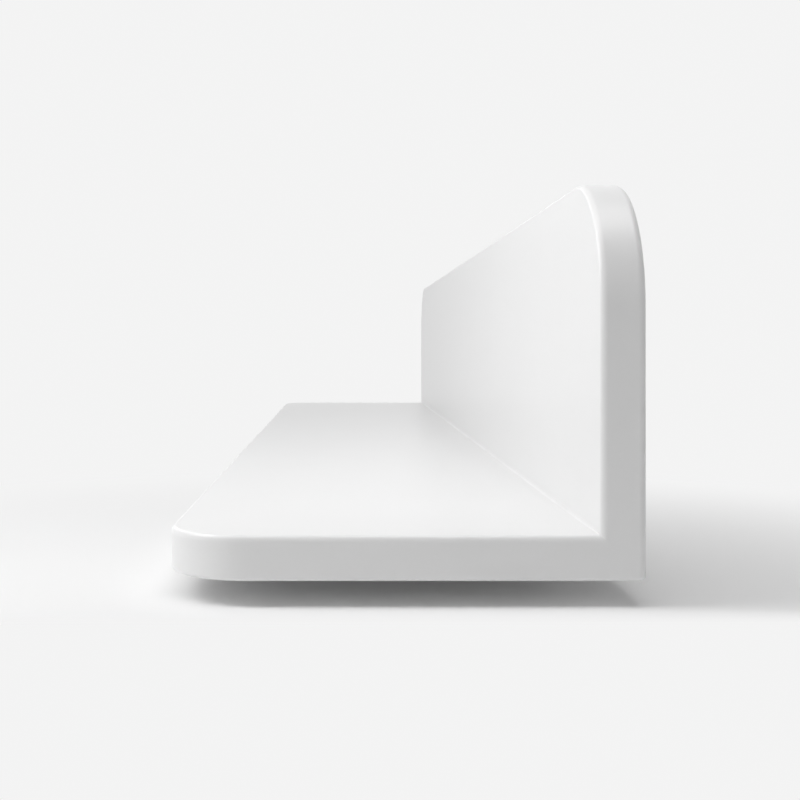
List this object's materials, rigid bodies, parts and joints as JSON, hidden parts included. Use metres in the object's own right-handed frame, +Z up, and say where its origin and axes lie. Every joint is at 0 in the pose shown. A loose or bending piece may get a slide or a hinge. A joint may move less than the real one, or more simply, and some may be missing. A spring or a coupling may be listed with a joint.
{
  "type": "floating wall shelf",
  "caption": "L-shaped floating wall shelf of white lacquered board with rounded corners, hung on hidden keyhole plates let into its rear face.",
  "frame": {"origin": "on the wall plane, midway between the round entry holes of the two keyhole plates", "axes": "+X along the shelf, +Y into the wall, +Z up"},
  "size_m": [0.7, 0.127, 0.108],
  "materials": {
    "white_lacquer": "satin white lacquer on MDF",
    "beech": "fluted, raw",
    "yellow_zinc_steel": "yellow passivated zinc",
    "zinc_plated_steel": "stamped, bright zinc plated",
    "zinc_plated_screw": "bright zinc plated"
  },
  "bodies": {
    "root": {"back_board": "white_lacquer", "dowel_1": "beech", "dowel_2": "beech", "dowel_3": "beech", "dowel_4": "beech", "dowel_5": "beech", "joint_screws": "yellow_zinc_steel", "left_hanger_plate": "zinc_plated_steel", "left_hanger_screws": "zinc_plated_screw", "right_hanger_plate": "zinc_plated_steel", "right_hanger_screws": "zinc_plated_screw", "shelf_board": "white_lacquer"}
  },
  "joints": []
}
